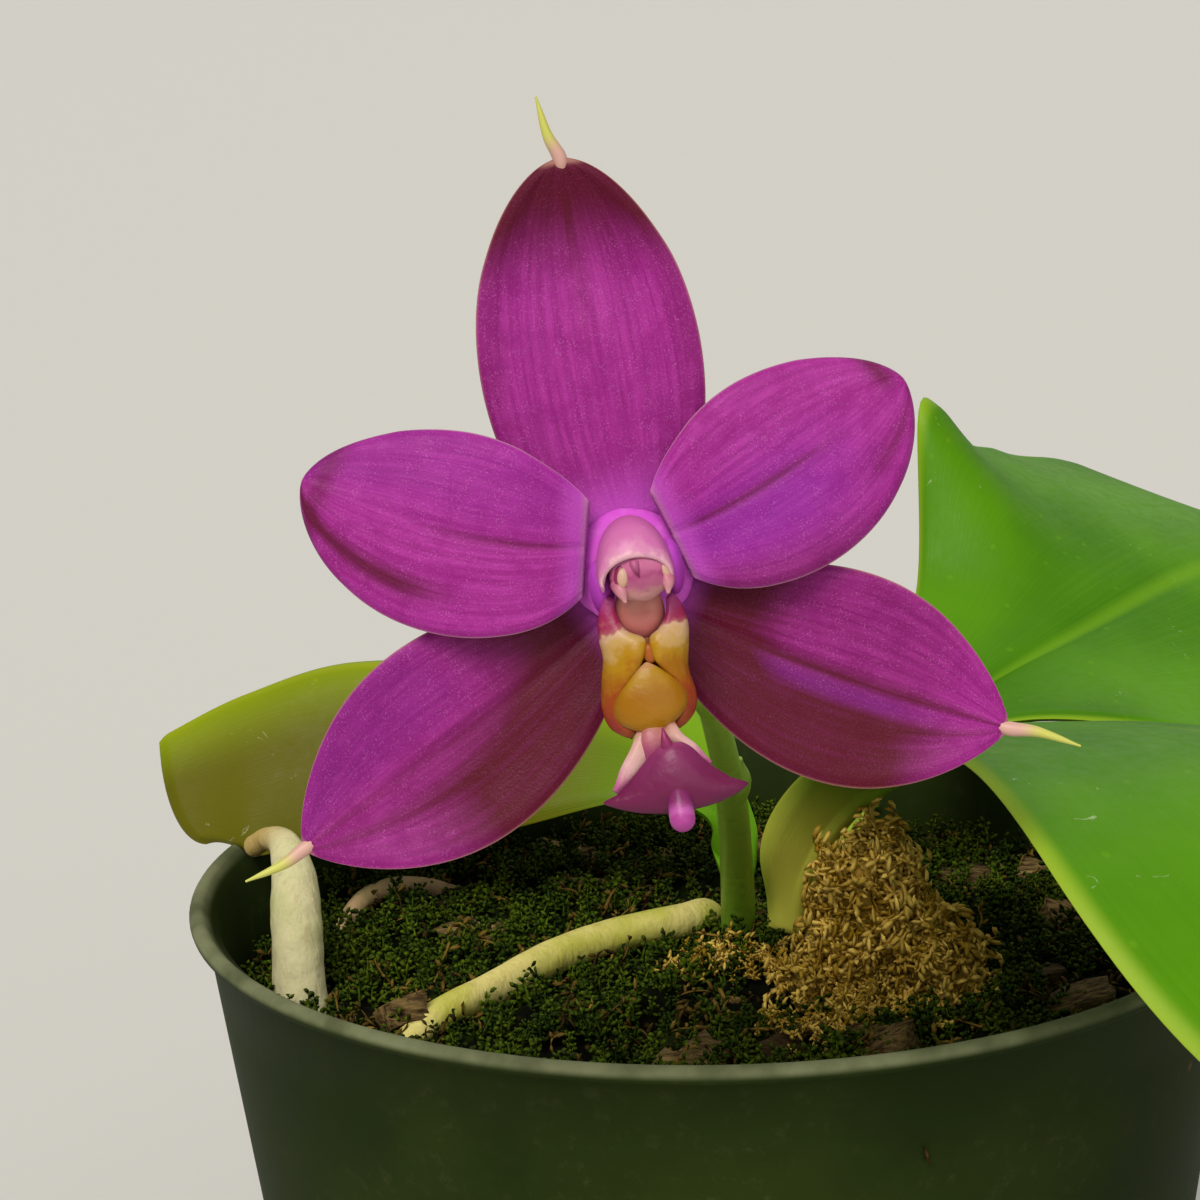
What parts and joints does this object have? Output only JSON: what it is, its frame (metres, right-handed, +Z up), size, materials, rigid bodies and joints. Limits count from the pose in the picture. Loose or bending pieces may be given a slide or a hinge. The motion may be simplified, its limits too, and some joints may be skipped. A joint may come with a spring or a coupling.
{
  "type": "potted phalaenopsis violacea",
  "caption": "Small orchid in a round tapered nursery pot, with broad arching leaves, thick roots on mossy bark mix and an open violet flower on a short leaning stalk.",
  "frame": {"origin": "centre of the pot's underside, where it stands", "axes": "+Z up along the pot's axis; the flower looks towards -Y; +X to the viewer's right when facing the flower"},
  "size_m": [0.149, 0.176, 0.1642],
  "materials": {
    "pot_plastic": "dark green nursery plastic, satin, dusty and scuffed round the rim",
    "mossy_mix": "damp bark mix grown over with dark green moss",
    "dry_moss": "dry golden sphagnum strands",
    "crown_green": "pale yellow-green leaf bases, smooth and waxy",
    "leaf_olive": "olive green leaf, waxy, yellower to its margins",
    "leaf_green": "bright green leaf, waxy, with fine lengthwise veins and white mineral spots",
    "pale_root": "pale cream-green root, spongy and matte, drying to tan at its tip",
    "tan_root": "tan-green root, matte and slightly ribbed",
    "stalk_green": "green flower stalk, satin",
    "pedicel_pink": "pale pinkish green stem behind the flower",
    "petal_violet": "magenta-violet petal with a fine sparkle and faint veins",
    "sepal_violet": "magenta-violet sepal, crimson towards the lip, with a yellow-green thorn",
    "column_pink": "pink column, smooth and waxy",
    "anther_cream": "pink anther cap with two cream ovals",
    "lip_yellow": "waxy lip, white and yellow turning orange, with a violet front lobe"
  },
  "bodies": {
    "root": {"pot": "pot_plastic", "potting_mix": "mossy_mix", "dry_sphagnum": "dry_moss", "crown": "crown_green", "leaf_left": "leaf_olive", "leaf_back_right": "leaf_green", "leaf_front_right": "leaf_green", "root_pale": "pale_root", "root_front": "tan_root", "root_small": "tan_root", "flower_stalk": "stalk_green", "pedicel": "pedicel_pink", "dorsal_sepal": "sepal_violet", "lateral_sepal_left": "sepal_violet", "lateral_sepal_right": "sepal_violet", "petal_left": "petal_violet", "petal_right": "petal_violet", "column": "column_pink", "anther_cap": "anther_cream", "lip": "lip_yellow"}
  },
  "joints": []
}
